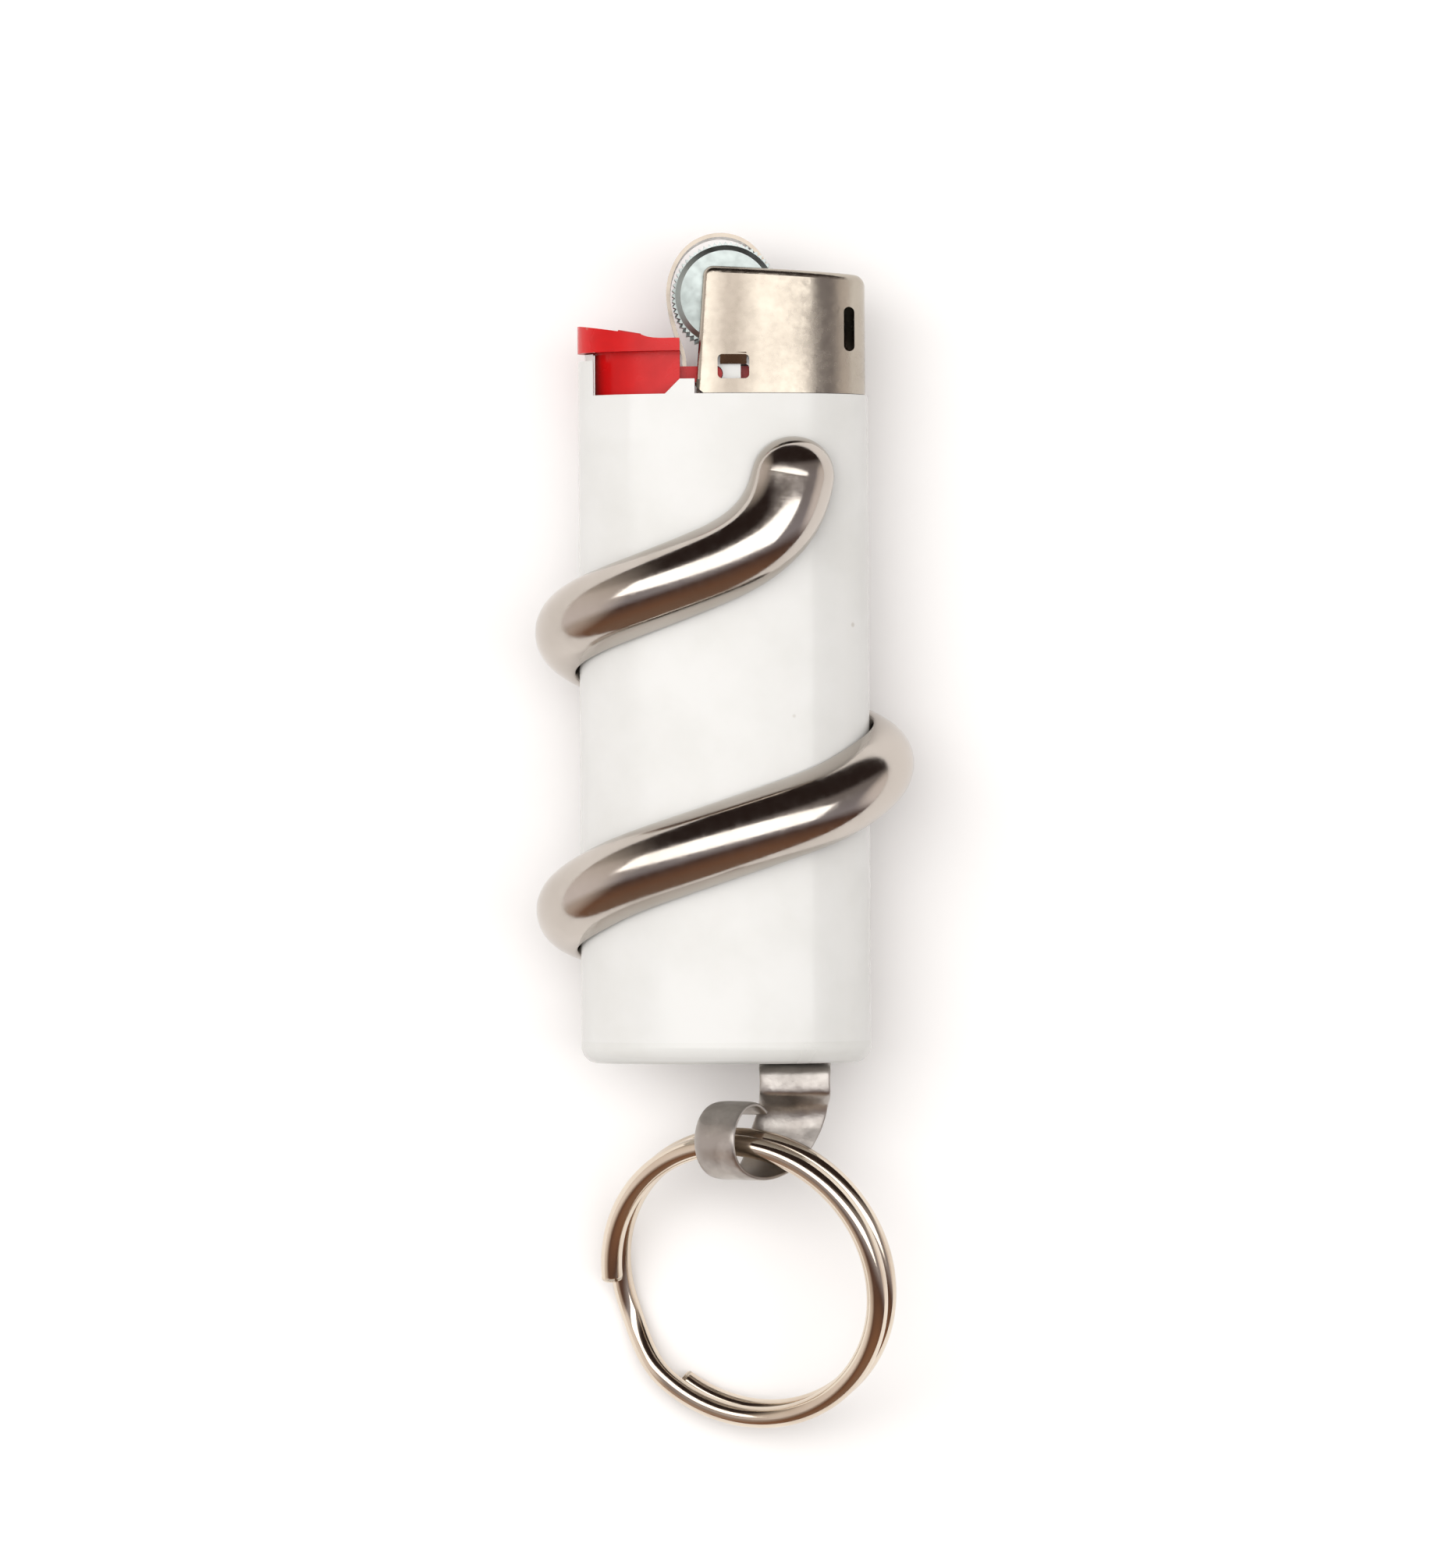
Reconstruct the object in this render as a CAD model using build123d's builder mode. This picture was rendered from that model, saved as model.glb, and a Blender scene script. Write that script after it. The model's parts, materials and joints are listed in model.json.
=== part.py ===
"""Small flint-wheel gas lighter carried in a wrapped half-round holder with a split ring.

The object lies on its back. X runs across the lighter, Y runs from the ring to
the flame end and Z rises from the surface it lies on. All sizes are in mm.
"""

import os
from math import acos, cos, degrees, pi, radians, sin, sqrt

from build123d import *

# --- placing ------------------------------------------------------------------
BASE_Y = -17.07          # the lighter's base along the row's Y
MID_Z = 9.02             # the lighter's middle plane above the surface

# --- gas tank -----------------------------------------------------------------
BODY_A = 10.8            # half width of the oval body
BODY_B = 5.6             # half depth of the oval body
WALL = 1.1
SHOULDER = 49.7          # top of the front wall
SEAM = 1.63              # joint between tank and base plug
DECK_UNDER = 46.2        # underside of the deck that closes the tank
POCKET_FLOOR = 48.5      # floor of the pocket the lever sinks into
LEVER_EDGE = -9.66       # edge of the end post beside the lever
SLOPE_FOOT = -4.3        # where the front wall starts to rise beside the lever
SLOPE_TOP = -3.2
SLOPE_RISE = 1.1
POST_STEP = 52.3         # shoulder of the end post
POST_TOP = 52.8          # top of its tongue, inside the lever's cap
POST_INSET = 0.5
NECK_A = 10.18           # neck that the hood is pressed on to
NECK_B = 4.98
NECK_TOP = 52.7
NECK_WALL = 1.0
NECK_LEFT = -1.45

# --- hood ---------------------------------------------------------------------
HOOD_A = 10.6
HOOD_B = 5.4
HOOD_SKIN = 0.35
HOOD_FOOT = 49.75
HOOD_TOP_LEFT = 59.2     # the top edge falls a little towards the right
HOOD_TOP_RIGHT = 58.6
HOOD_LEFT_FOOT = -2.0    # the open side leans
HOOD_LEFT_TOP = -1.4
HOOD_RETURN = 0.4        # width of the strip folded in along the open side
HOOD_FLANGE = 0.95       # width of the flange rolled in around the top

# --- wheel --------------------------------------------------------------------
WHEEL_X = 0.24
WHEEL_H = 57.0
THUMB_R = 4.02
THUMB_TEETH = 60
THUMB_FACE_R = 3.36
THUMB_RIM_R = 3.74
THUMB_IN = 1.92          # inner and outer faces of the thumb wheels
THUMB_TEETH_OUT = 3.85
THUMB_OUT = 4.2
SPARK_R = 3.35
SPARK_TEETH = 48
SPARK_HALF = 1.86
AXLE_R = 0.6
AXLE_HALF = 4.85
EAR_IN = 4.3
EAR_OUT = 4.92
EAR_R = 1.08
AXLE_HOLE_R = 0.64

# --- lever --------------------------------------------------------------------
CAP_FOOT = 52.9
CAP_CEILING = 53.52       # roof of the hollow that clears the end post as the lever tilts
CAP_RIGHT = -3.2
LEVER_FOOT = 49.2
PIVOT_X = -0.6
PIVOT_H = 51.2
ARM_IN = 2.2
ARM_OUT = 3.3
ARM_FOOT = 50.55
ARM_TOP = 51.8
TRUNNION_R = 0.55

# --- flint --------------------------------------------------------------------
FLINT_R = 1.15
FLINT_BORE_R = 1.2
FLINT_TUBE_R = 2.0
FLINT_FOOT = 48.6
TUBE_TOP = 52.3
TUBE_FLOOR = 24.5
TUBE_FOOT = 23.0

# --- valve --------------------------------------------------------------------
JET_X = 6.1
JET_R = 0.85
JET_TOP = 54.4
JET_COLLAR_H = 51.85
HOUSING_R = 1.9
HOUSING_BORE_R = 1.35
HOUSING_FOOT = 40.4
BOSS_R = 2.9
BOSS_FOOT = 39.0

# --- holder -------------------------------------------------------------------
ROD_GAP = 0.12           # air between the rod's flat side and the body
ROD_HALF = 2.93          # half width of the half-round rod
ROD_THICK = 3.3
STRIP_X = 5.1
STRIP_HALF = 2.67
STRIP_THICK = 0.85

# --- eye and split ring -------------------------------------------------------
EYE = Vector(0.65, -5.8, 0.68)       # centre of the eye, from the base and middle plane
EYE_RISE = 36.0                      # the eye's axis rises towards the right
EYE_MID_R = 2.67
EYE_SKIN = 0.44
RING_MID_R = 10.76
RING_WIRE_R = 0.8
RING_PITCH = 1.7                     # spacing of the two turns
RING_CENTRE = Vector(1.53, -16.25, -2.62)
RING_NORMAL = Vector(-0.384, -0.270, 0.883)


def across(height):
    """Plane square to the lighter's length at a height above its base, facing the base."""
    return Plane(origin=(0, BASE_Y + height, MID_Z), x_dir=(1, 0, 0), z_dir=(0, -1, 0))


def facing(rise):
    """Plane parallel to the lighter's front at a distance in front of its middle."""
    return Plane(origin=(0, BASE_Y, MID_Z + rise), x_dir=(1, 0, 0), z_dir=(0, 0, 1))


def star(tip, root, count):
    """Corners of a toothed wheel's outline."""
    points = []
    for step in range(2 * count):
        radius = tip if step % 2 == 0 else root
        angle = pi * step / count
        points.append((WHEEL_X + radius * cos(angle), WHEEL_H + radius * sin(angle)))
    return points



# ------------------------------------------------------------------------------
# gas tank: shell, deck, neck, ears, flint tube and valve boss in one moulding
with BuildPart() as lighter_body:
    with BuildSketch(across(SHOULDER)):
        Ellipse(BODY_A, BODY_B)
    extrude(amount=SHOULDER - SEAM)
    # end post and its tongue
    with BuildSketch(across(POST_STEP)):
        Ellipse(BODY_A, BODY_B)
        with Locations((LEVER_EDGE + 15, 0)):
            Rectangle(30, 20, mode=Mode.SUBTRACT)
    extrude(amount=POST_STEP - SHOULDER + 1)
    with BuildSketch(across(POST_TOP)):
        Ellipse(BODY_A - POST_INSET, BODY_B - POST_INSET)
        with Locations((LEVER_EDGE + 15, 0)):
            Rectangle(30, 20, mode=Mode.SUBTRACT)
    extrude(amount=POST_TOP - SHOULDER + 1)
    # front and back walls rising beside the lever
    with BuildSketch(across(SHOULDER + SLOPE_RISE)):
        Ellipse(BODY_A, BODY_B)
        Ellipse(BODY_A - WALL, BODY_B - WALL, mode=Mode.SUBTRACT)
        with Locations((SLOPE_FOOT - 10, 0), (-2.1 + 10, 0)):
            Rectangle(20, 20, mode=Mode.SUBTRACT)
    extrude(amount=SLOPE_RISE + 0.5)
    with BuildSketch(facing(0)):
        with BuildLine():
            Polyline((SLOPE_FOOT, SHOULDER), (SLOPE_TOP, SHOULDER + SLOPE_RISE),
                     (SLOPE_FOOT - 0.5, SHOULDER + SLOPE_RISE + 0.5), (SLOPE_FOOT - 0.5, SHOULDER), close=True)
        make_face()
    extrude(amount=8, both=True, mode=Mode.SUBTRACT)
    # neck that carries the hood
    with BuildSketch(across(NECK_TOP)):
        Ellipse(NECK_A, NECK_B)
        Ellipse(NECK_A - NECK_WALL, NECK_B - NECK_WALL, mode=Mode.SUBTRACT)
        with Locations((NECK_LEFT - 10, 0)):
            Rectangle(20, 20, mode=Mode.SUBTRACT)
    extrude(amount=NECK_TOP - SHOULDER + 0.5)
    # openings in the neck behind the hood's windows
    for side in (1, -1):
        with BuildSketch(facing(side * 3.5)):
            with Locations((1.0, 51.25)):
                RectangleRounded(1.9, 1.3, 0.3)
        extrude(amount=side * 2, mode=Mode.SUBTRACT)
    # gas space, flint tube and valve boss
    with BuildSketch(across(DECK_UNDER)):
        Ellipse(BODY_A - WALL, BODY_B - WALL)
        with Locations((WHEEL_X, 0)):
            Circle(FLINT_TUBE_R, mode=Mode.SUBTRACT)
        with Locations((JET_X, 0)):
            Circle(BOSS_R, mode=Mode.SUBTRACT)
    extrude(amount=DECK_UNDER - BOSS_FOOT, mode=Mode.SUBTRACT)
    with BuildSketch(across(BOSS_FOOT)):
        Ellipse(BODY_A - WALL, BODY_B - WALL)
        with Locations((WHEEL_X, 0)):
            Circle(FLINT_TUBE_R, mode=Mode.SUBTRACT)
    extrude(amount=BOSS_FOOT - TUBE_FOOT, mode=Mode.SUBTRACT)
    with BuildSketch(across(TUBE_FOOT)):
        Ellipse(BODY_A - WALL, BODY_B - WALL)
    extrude(amount=TUBE_FOOT - SEAM, mode=Mode.SUBTRACT)
    # rib that ties the front and back walls
    with BuildSketch(across(DECK_UNDER)):
        with Locations((WHEEL_X, 0)):
            Rectangle(0.8, 2 * (BODY_B - 0.4))
    extrude(amount=DECK_UNDER - 6)
    # flint tube above the deck and its bore
    with BuildSketch(across(TUBE_TOP)):
        with Locations((WHEEL_X, 0)):
            Circle(FLINT_TUBE_R - 0.05)
    extrude(amount=TUBE_TOP - SHOULDER + 0.5)
    with BuildSketch(across(TUBE_TOP)):
        with Locations((WHEEL_X, 0)):
            Circle(FLINT_BORE_R)
    extrude(amount=TUBE_TOP - TUBE_FLOOR, mode=Mode.SUBTRACT)
    # ears for the wheel's axle
    for side in (1, -1):
        with BuildSketch(facing(side * EAR_IN)):
            with Locations((WHEEL_X, WHEEL_H)):
                Circle(EAR_R)
            with Locations((WHEEL_X, (WHEEL_H + SHOULDER) / 2)):
                Rectangle(2 * EAR_R, WHEEL_H - SHOULDER)
            with Locations((WHEEL_X, WHEEL_H)):
                Circle(AXLE_HOLE_R, mode=Mode.SUBTRACT)
        extrude(amount=side * (EAR_OUT - EAR_IN))
    # pocket for the lever's skirt
    with BuildSketch(across(SHOULDER + 0.01)):
        Ellipse(BODY_A - WALL, BODY_B - WALL)
        with Locations((LEVER_EDGE - 10, 0), (-2.9 + 10, 0)):
            Rectangle(20, 20, mode=Mode.SUBTRACT)
    extrude(amount=SHOULDER - POCKET_FLOOR, mode=Mode.SUBTRACT)
    # bearings for the lever's trunnions, and pockets behind the hood's tabs
    with BuildSketch(facing(0)):
        with Locations((PIVOT_X, PIVOT_H)):
            Circle(TRUNNION_R + 0.05)
    extrude(amount=4.6, both=True, mode=Mode.SUBTRACT)
    for side in (1, -1):
        with BuildSketch(facing(side * 4.55)):
            with Locations((0.78, 51.72)):
                Rectangle(2.7, 2.1)
        extrude(amount=side * 2, mode=Mode.SUBTRACT)
    # valve bore and its seat for the housing's flange
    with BuildSketch(across(SHOULDER)):
        with Locations((JET_X, 0)):
            Circle(HOUSING_R + 0.02)
    extrude(amount=SHOULDER - BOSS_FOOT, mode=Mode.SUBTRACT)

# base plug with its filling hole
with BuildPart() as base_plug:
    with BuildSketch(across(SEAM)):
        Ellipse(BODY_A, BODY_B)
    extrude(amount=SEAM)
    fillet(base_plug.faces().sort_by(Axis.Y)[0].edges(), 1.25)
    with BuildSketch(across(SEAM + 2.2)):
        Ellipse(BODY_A - WALL - 0.02, BODY_B - WALL - 0.02)
        Ellipse(BODY_A - WALL - 0.9, BODY_B - WALL - 0.9, mode=Mode.SUBTRACT)
    extrude(amount=2.2)
    with BuildSketch(across(SEAM)):
        Circle(1.0)
    extrude(amount=SEAM, mode=Mode.SUBTRACT)

# steel ball that closes the filling hole
with BuildPart() as fill_ball:
    with Locations((0, BASE_Y + 0.95, MID_Z)):
        Sphere(0.98)

# inside of the hood, used to hollow it
with BuildPart() as hood_space:
    with BuildSketch(across(HOOD_TOP_LEFT + 1)):
        Ellipse(HOOD_A - HOOD_SKIN, HOOD_B - HOOD_SKIN)
    extrude(amount=HOOD_TOP_LEFT + 2 - HOOD_FOOT)
    with BuildSketch(facing(0)):
        with BuildLine():
            Polyline((HOOD_LEFT_FOOT + HOOD_RETURN, HOOD_FOOT - 1),
                     (HOOD_LEFT_TOP + HOOD_RETURN, HOOD_TOP_LEFT - HOOD_SKIN),
                     (HOOD_A, HOOD_TOP_RIGHT - HOOD_SKIN), (HOOD_A, HOOD_FOOT - 1), close=True)
        make_face()
    extrude(amount=8, both=True, mode=Mode.INTERSECT)

# hood: pressed steel sleeve around the flame end
with BuildPart() as hood:
    with BuildSketch(across(HOOD_TOP_LEFT + 1)):
        Ellipse(HOOD_A, HOOD_B)
    extrude(amount=HOOD_TOP_LEFT + 1 - HOOD_FOOT)
    with BuildSketch(facing(0)) as side_view:
        with BuildLine():
            Polyline((HOOD_LEFT_FOOT, HOOD_FOOT + 0.45), (HOOD_LEFT_TOP, HOOD_TOP_LEFT),
                     (HOOD_A, HOOD_TOP_RIGHT), (HOOD_A, HOOD_FOOT), (HOOD_LEFT_FOOT + 0.55, HOOD_FOOT), close=True)
        make_face()
        fillet(side_view.vertices().sort_by(Axis.Y)[-1], 0.8)
        fillet(side_view.vertices().group_by(Axis.X)[-1].sort_by(Axis.Y)[-1], 0.9)
    extrude(amount=8, both=True, mode=Mode.INTERSECT)
    upper = hood.edges().filter_by(lambda edge: edge.center().Y > BASE_Y + 58)
    rim = upper.filter_by(lambda edge: abs(edge.center().Z - MID_Z) > 0.5)
    fillet(rim, 0.5)
    add(hood_space.part, mode=Mode.SUBTRACT)
    # open side, and the opening inside the rolled flange
    with BuildSketch(facing(0)):
        with Locations((-3, 54)):
            Rectangle(8, 20)
    extrude(amount=4.6, both=True, mode=Mode.SUBTRACT)
    with BuildSketch(across(HOOD_TOP_LEFT + 1)):
        Ellipse(HOOD_A - HOOD_FLANGE, HOOD_B - HOOD_FLANGE)
    extrude(amount=3, mode=Mode.SUBTRACT)
    # snap windows in front and back, and the vent slot towards the right end
    with BuildSketch(facing(0)):
        with Locations((0.78, 51.7)):
            RectangleRounded(2.35, 1.8, 0.35)
    extrude(amount=8, both=True, mode=Mode.SUBTRACT)
    with BuildSketch(facing(0)):
        with Locations((9.4, 54.55)):
            SlotOverall(3.3, 0.8, rotation=90)
    extrude(amount=8, mode=Mode.SUBTRACT)
    # tabs bent in from the tops of the windows
    for side in (1, -1):
        with BuildSketch(Plane(origin=(-0.2, BASE_Y, MID_Z), x_dir=(0, 1, 0), z_dir=(1, 0, 0))):
            with BuildLine():
                Polyline((52.75, side * 5.38), (51.9, side * 4.85), (51.9, side * 4.6), (52.75, side * 5.08),
                         close=True)
            make_face()
        extrude(amount=1.95)

# spring-steel band that guards the spark wheel
band_path = [(-2.85, 49.8), (-2.85, 51.5), (-2.93, 52.7), (-3.33, 53.9), (-3.85, 55.7), (-4.04, 57.5),
             (-3.62, 59.25), (-2.5, 60.8), (0.02, 61.65), (2.25, 60.72), (3.0, 59.75), (3.5, 58.85),
             (3.85, 57.5), (3.75, 55.4), (3.45, 52.8), (3.38, 49.8)]
with BuildPart() as guard_band:
    with BuildSketch(facing(-1.7)):
        with BuildLine():
            Spline(*band_path)
        trace(line_width=0.3)
    extrude(amount=3.4)

# thumb wheels: smooth faces, a bevel and a toothed rim
thumb_wheels = {}
for side, label in ((1, "thumb_wheel_front"), (-1, "thumb_wheel_back")):
    with BuildPart() as thumb_wheel:
        with BuildSketch(facing(side * THUMB_IN)):
            with BuildLine():
                Polyline(*star(THUMB_R, THUMB_R - 0.26, THUMB_TEETH), close=True)
            make_face()
        extrude(amount=side * (THUMB_TEETH_OUT - THUMB_IN))
        with BuildSketch(facing(side * THUMB_IN)):
            with Locations((WHEEL_X, WHEEL_H)):
                Circle(THUMB_RIM_R)
        extrude(amount=side * (THUMB_OUT - THUMB_IN))
        face = thumb_wheel.faces().filter_by(Axis.Z).sort_by(Axis.Z)[-1 if side > 0 else 0]
        chamfer(face.edges(), 0.22, THUMB_RIM_R - THUMB_FACE_R)
        with BuildSketch(facing(side * THUMB_IN)):
            with Locations((WHEEL_X, WHEEL_H)):
                Circle(AXLE_R + 0.01)
        extrude(amount=side * 4, mode=Mode.SUBTRACT)
    thumb_wheels[label] = thumb_wheel

# file-cut spark wheel
with BuildPart() as spark_wheel:
    with BuildSketch(facing(-SPARK_HALF)):
        with BuildLine():
            Polyline(*star(SPARK_R, SPARK_R - 0.22, SPARK_TEETH), close=True)
        make_face()
        with Locations((WHEEL_X, WHEEL_H)):
            Circle(AXLE_R + 0.01, mode=Mode.SUBTRACT)
    extrude(amount=2 * SPARK_HALF)

with BuildPart() as wheel_axle:
    with BuildSketch(facing(-AXLE_HALF)):
        with Locations((WHEEL_X, WHEEL_H)):
            Circle(AXLE_R)
    extrude(amount=2 * AXLE_HALF)
    chamfer(wheel_axle.edges(), 0.1)

# flint and the spring that feeds it
with BuildPart() as flint:
    with BuildSketch(across(WHEEL_H - SPARK_R - 0.04)):
        with Locations((WHEEL_X, 0)):
            Circle(FLINT_R)
    extrude(amount=WHEEL_H - SPARK_R - 0.04 - FLINT_FOOT)

with BuildPart() as flint_spring:
    with BuildLine() as coil:
        Helix(1.0, FLINT_FOOT - TUBE_FLOOR - 0.5, 0.88,
              center=(WHEEL_X, BASE_Y + TUBE_FLOOR + 0.25, MID_Z), direction=(0, 1, 0))
    with BuildSketch(Plane(origin=coil.line @ 0, z_dir=coil.line % 0)):
        Circle(0.2)
    sweep(is_frenet=True)

# thumb lever: cap, skirt, two arms that straddle the flint tube, and the fork's tips
with BuildPart() as thumb_lever:
    with BuildSketch(across(56)):
        Ellipse(BODY_A + 0.04, BODY_B)
        with Locations((CAP_RIGHT + 10, 0)):
            Rectangle(20, 20, mode=Mode.SUBTRACT)
        with Locations((CAP_RIGHT, 0)):
            Rectangle(2.2, 4.4, mode=Mode.SUBTRACT)
    extrude(amount=56 - CAP_FOOT)
    with BuildSketch(facing(0)):
        with BuildLine():
            Polyline((-12, 55.18), (-10.8, 54.92), (-6.0, 54.1))
            Spline((-6.0, 54.1), (-5.0, 53.86), (-4.0, 53.84), (-3.0, 53.8))
            Polyline((-3.0, 53.8), (-2, 57), (-12, 57), (-12, 55.18))
        make_face()
    extrude(amount=8, both=True, mode=Mode.SUBTRACT)
    with BuildSketch(facing(-2.4)):
        with BuildLine():
            Polyline((-7.9, 54.3), (-7.75, 54.58), (-6.1, 54.3), (-5.9, 54.0), close=True)
        make_face()
    extrude(amount=4.8)
    # pocket for the tongue of the end post
    with BuildSketch(across(CAP_CEILING)):
        Ellipse(BODY_A - POST_INSET + 0.06, BODY_B - POST_INSET + 0.06)
        with Locations((-9.4 + 15, 0)):
            Rectangle(30, 20, mode=Mode.SUBTRACT)
    extrude(amount=CAP_CEILING - CAP_FOOT, mode=Mode.SUBTRACT)
    # skirt
    with BuildSketch(across(CAP_FOOT)):
        Ellipse(BODY_A - WALL - 0.14, BODY_B - WALL - 0.14)
        with Locations((-9.54 - 10, 0), (CAP_RIGHT + 10, 0)):
            Rectangle(20, 20, mode=Mode.SUBTRACT)
    extrude(amount=CAP_FOOT - LEVER_FOOT)
    # hollow from below
    with BuildSketch(across(LEVER_FOOT + 3.2)):
        Ellipse(BODY_A - WALL - 1.0, BODY_B - WALL - 1.0)
        with Locations((CAP_RIGHT - 0.9 + 10, 0)):
            Rectangle(20, 20, mode=Mode.SUBTRACT)
    extrude(amount=3.2, mode=Mode.SUBTRACT)
    # arms, trunnions and tips
    for side in (1, -1):
        with BuildSketch(facing(side * ARM_IN)):
            with BuildLine():
                Polyline((CAP_RIGHT - 0.6, ARM_FOOT), (4.9, ARM_FOOT + 0.35), (4.9, ARM_TOP),
                         (CAP_RIGHT - 0.6, ARM_TOP), close=True)
            make_face()
        extrude(amount=side * (ARM_OUT - ARM_IN))
        with BuildSketch(facing(side * (ARM_OUT - 0.2))):
            with Locations((PIVOT_X, PIVOT_H)):
                Circle(TRUNNION_R)
        extrude(amount=side * 1.3)
        with BuildSketch(facing(side * 1.05)):
            with Locations((JET_X - 0.25, ARM_TOP - 0.4)):
                Rectangle(2.7, 0.8)
        extrude(amount=side * 1.3)

# valve housing pressed into the tank
with BuildPart() as valve_housing:
    with BuildSketch(across(50.2)):
        with Locations((JET_X, 0)):
            Circle(2.15)
    extrude(amount=0.48)
    with BuildSketch(across(SHOULDER + 0.1)):
        with Locations((JET_X, 0)):
            Circle(HOUSING_R)
    extrude(amount=SHOULDER + 0.1 - HOUSING_FOOT)
    with BuildSketch(across(50.2)):
        with Locations((JET_X, 0)):
            Circle(JET_R + 0.05)
    extrude(amount=50.2 - 42.6, mode=Mode.SUBTRACT)
    with BuildSketch(across(47.6)):
        with Locations((JET_X, 0)):
            Circle(HOUSING_BORE_R)
    extrude(amount=47.6 - 42.6, mode=Mode.SUBTRACT)
    with BuildSketch(across(49.2)):
        with Locations((JET_X, 0)):
            Circle(1.4)
    extrude(amount=0.56, mode=Mode.SUBTRACT)
    with BuildSketch(across(42.6)):
        with Locations((JET_X, 0)):
            Circle(0.35)
    extrude(amount=0.5, mode=Mode.SUBTRACT)
    with BuildSketch(across(42.1)):
        with Locations((JET_X, 0)):
            Circle(1.55)
    extrude(amount=42.1 - HOUSING_FOOT, mode=Mode.SUBTRACT)

# gas jet: drilled stem with a collar for the fork and a shoulder for its spring
with BuildPart() as valve_jet:
    with BuildSketch(across(JET_TOP)):
        with Locations((JET_X, 0)):
            Circle(JET_R)
    extrude(amount=JET_TOP - 43.3)
    with BuildSketch(across(JET_COLLAR_H + 0.4)):
        with Locations((JET_X, 0)):
            Circle(1.7)
    extrude(amount=0.4)
    with BuildSketch(across(43.9)):
        with Locations((JET_X, 0)):
            Circle(1.28)
    extrude(amount=0.6)
    with BuildSketch(across(JET_TOP)):
        with Locations((JET_X, 0)):
            Circle(0.3)
    extrude(amount=9.5, mode=Mode.SUBTRACT)
    with BuildSketch(facing(0)):
        with Locations((JET_X, 45.1)):
            Circle(0.25)
    extrude(amount=2, both=True, mode=Mode.SUBTRACT)

with BuildPart() as jet_spring:
    with BuildLine() as turns:
        Helix(0.82, 47.6 - 43.9 - 0.34, 1.1, center=(JET_X, BASE_Y + 43.9 + 0.17, MID_Z), direction=(0, 1, 0))
    with BuildSketch(Plane(origin=turns.line @ 0, z_dir=turns.line % 0)):
        Circle(0.13)
    sweep(is_frenet=True)

# rubber pad that shuts the seat, and the stem's seal
with BuildPart() as valve_seal:
    with BuildSketch(across(43.29)):
        with Locations((JET_X, 0)):
            Circle(1.2)
    extrude(amount=43.29 - 42.61)

with BuildPart() as jet_o_ring:
    with BuildSketch(Plane(origin=(JET_X, BASE_Y + 48.92, MID_Z), x_dir=(1, 0, 0), z_dir=(0, 0, 1))):
        with Locations((1.125, 0)):
            Circle(0.24)
    revolve(axis=Axis((JET_X, BASE_Y, MID_Z), (0, 1, 0)))

# porous disc that meters the liquid gas, and the cup that holds it
with BuildPart() as flow_restrictor:
    with BuildSketch(across(42.08)):
        with Locations((JET_X, 0)):
            Circle(1.5)
    extrude(amount=0.9)

with BuildPart() as restrictor_cup:
    with BuildSketch(across(41.16)):
        with Locations((JET_X, 0)):
            Circle(1.53)
            Circle(0.7, mode=Mode.SUBTRACT)
    extrude(amount=0.7)


# --- holder: one bar, half-round where it wraps the body, flattened and rolled below it
def oval_point(turn, height):
    """Point on the bar's flat side where it wraps the body, and the outward direction there."""
    x = (BODY_A + ROD_GAP) * cos(radians(turn))
    z = (BODY_B + ROD_GAP) * sin(radians(turn))
    outward = Vector(x / BODY_A ** 2, 0, z / BODY_B ** 2).normalized()
    return Vector(x, height, z), outward


def blend(rows, where):
    """Smooth curve through rows of numbers, at a position counted in rows."""
    index = min(int(where), len(rows) - 2)
    part = where - index
    before = rows[max(index - 1, 0)]
    after = rows[min(index + 2, len(rows) - 1)]
    out = []
    for p0, p1, p2, p3 in zip(before, rows[index], rows[index + 1], after):
        out.append(p1 + part * (p2 - p0) / 2 + part ** 2 * (p0 - 2.5 * p1 + 2 * p2 - p3 / 2)
                   + part ** 3 * (1.5 * (p1 - p2) + (p3 - p0) / 2))
    return out


# centre of the wrapped bar: turn about the body, height, half width, thickness
wraps = [(62.5, 43.5, 3.15, 3.15), (64.5, 42.15, 3.15, 3.25), (68.0, 40.8, 3.12, 3.3), (73.0, 39.6, 3.06, 3.3),
         (79.5, 38.5, 3.0, 3.3), (87.9, 37.5, 2.96, 3.3), (99.0, 36.55, 2.94, 3.3), (115.0, 35.4, 2.93, 3.3),
         (133.4, 34.3, 2.93, 3.3), (155.0, 33.25, 2.93, 3.3), (180.0, 32.1, 2.93, 3.3), (205.0, 31.0, 2.93, 3.3),
         (235.0, 29.4, 2.93, 3.3), (270.0, 27.2, 2.93, 3.3), (305.0, 25.0, 2.93, 3.3), (335.0, 23.4, 2.93, 3.3),
         (360.0, 22.35, 2.93, 3.3), (385.0, 20.85, 2.93, 3.3), (407.0, 19.25, 2.93, 3.3), (428.0, 18.0, 2.93, 3.3),
         (450.0, 16.6, 2.93, 3.3), (472.0, 15.2, 2.93, 3.3), (494.0, 13.9, 2.93, 3.3), (516.0, 12.5, 2.93, 3.3),
         (540.0, 11.4, 2.93, 3.3), (565.0, 10.5, 2.93, 3.3), (588.0, 9.7, 2.93, 3.3), (610.0, 8.75, 2.93, 3.3),
         (628.0, 7.6, 2.93, 3.3), (642.0, 6.2, 2.93, 3.2), (651.0, 4.6, 2.92, 2.9), (656.0, 3.0, 2.88, 2.4)]
stations = []
for drop in (2.98, 2.88, 2.65, 2.25, 1.65, 0.9):
    point, outward = oval_point(62.0, 43.5 + drop)
    narrow = sqrt(1 - (drop / 3.0) ** 2)
    stations.append((point, outward, 3.15 * narrow, 3.15 * narrow ** 0.6, 2.0))
for step in range(2 * len(wraps) - 1):
    turn, height, half, thick = blend(wraps, step / 2)
    point, outward = oval_point(turn, height)
    stations.append((point, outward, half, thick, 2.0))

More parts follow.
